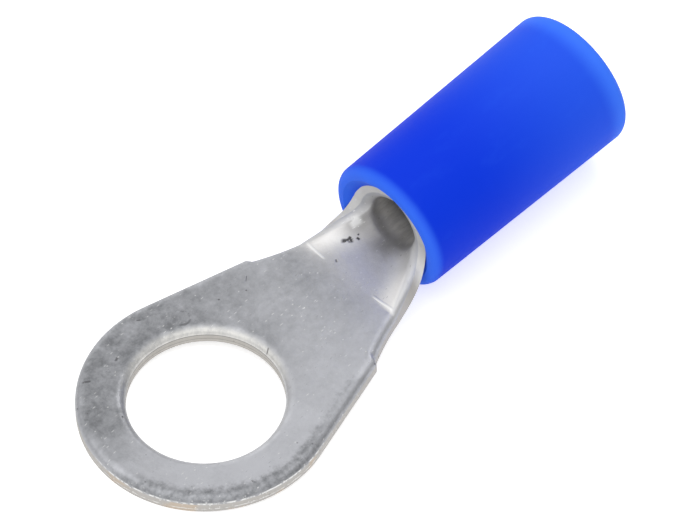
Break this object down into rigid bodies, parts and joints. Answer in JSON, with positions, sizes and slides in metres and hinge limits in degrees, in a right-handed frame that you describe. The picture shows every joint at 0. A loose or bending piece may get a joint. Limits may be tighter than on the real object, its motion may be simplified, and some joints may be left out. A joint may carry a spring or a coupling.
{
  "type": "insulated ring terminal",
  "caption": "Insulated crimp ring terminal: a flat ring tongue for a stud, curled at the neck into a wire barrel that carries a blue plastic sleeve.",
  "frame": {"origin": "centre of the stud hole, on the tongue's lower face", "axes": "+X from the stud hole to the wire end, +Z from the tongue's lower face towards the seam side of the barrel"},
  "size_m": [0.0269, 0.0106, 0.0061],
  "materials": {
    "tin_plate": "dull tin plating on copper",
    "blue_plastic": "satin"
  },
  "bodies": {
    "root": {"terminal": "tin_plate", "insulating_sleeve": "blue_plastic"}
  },
  "joints": []
}
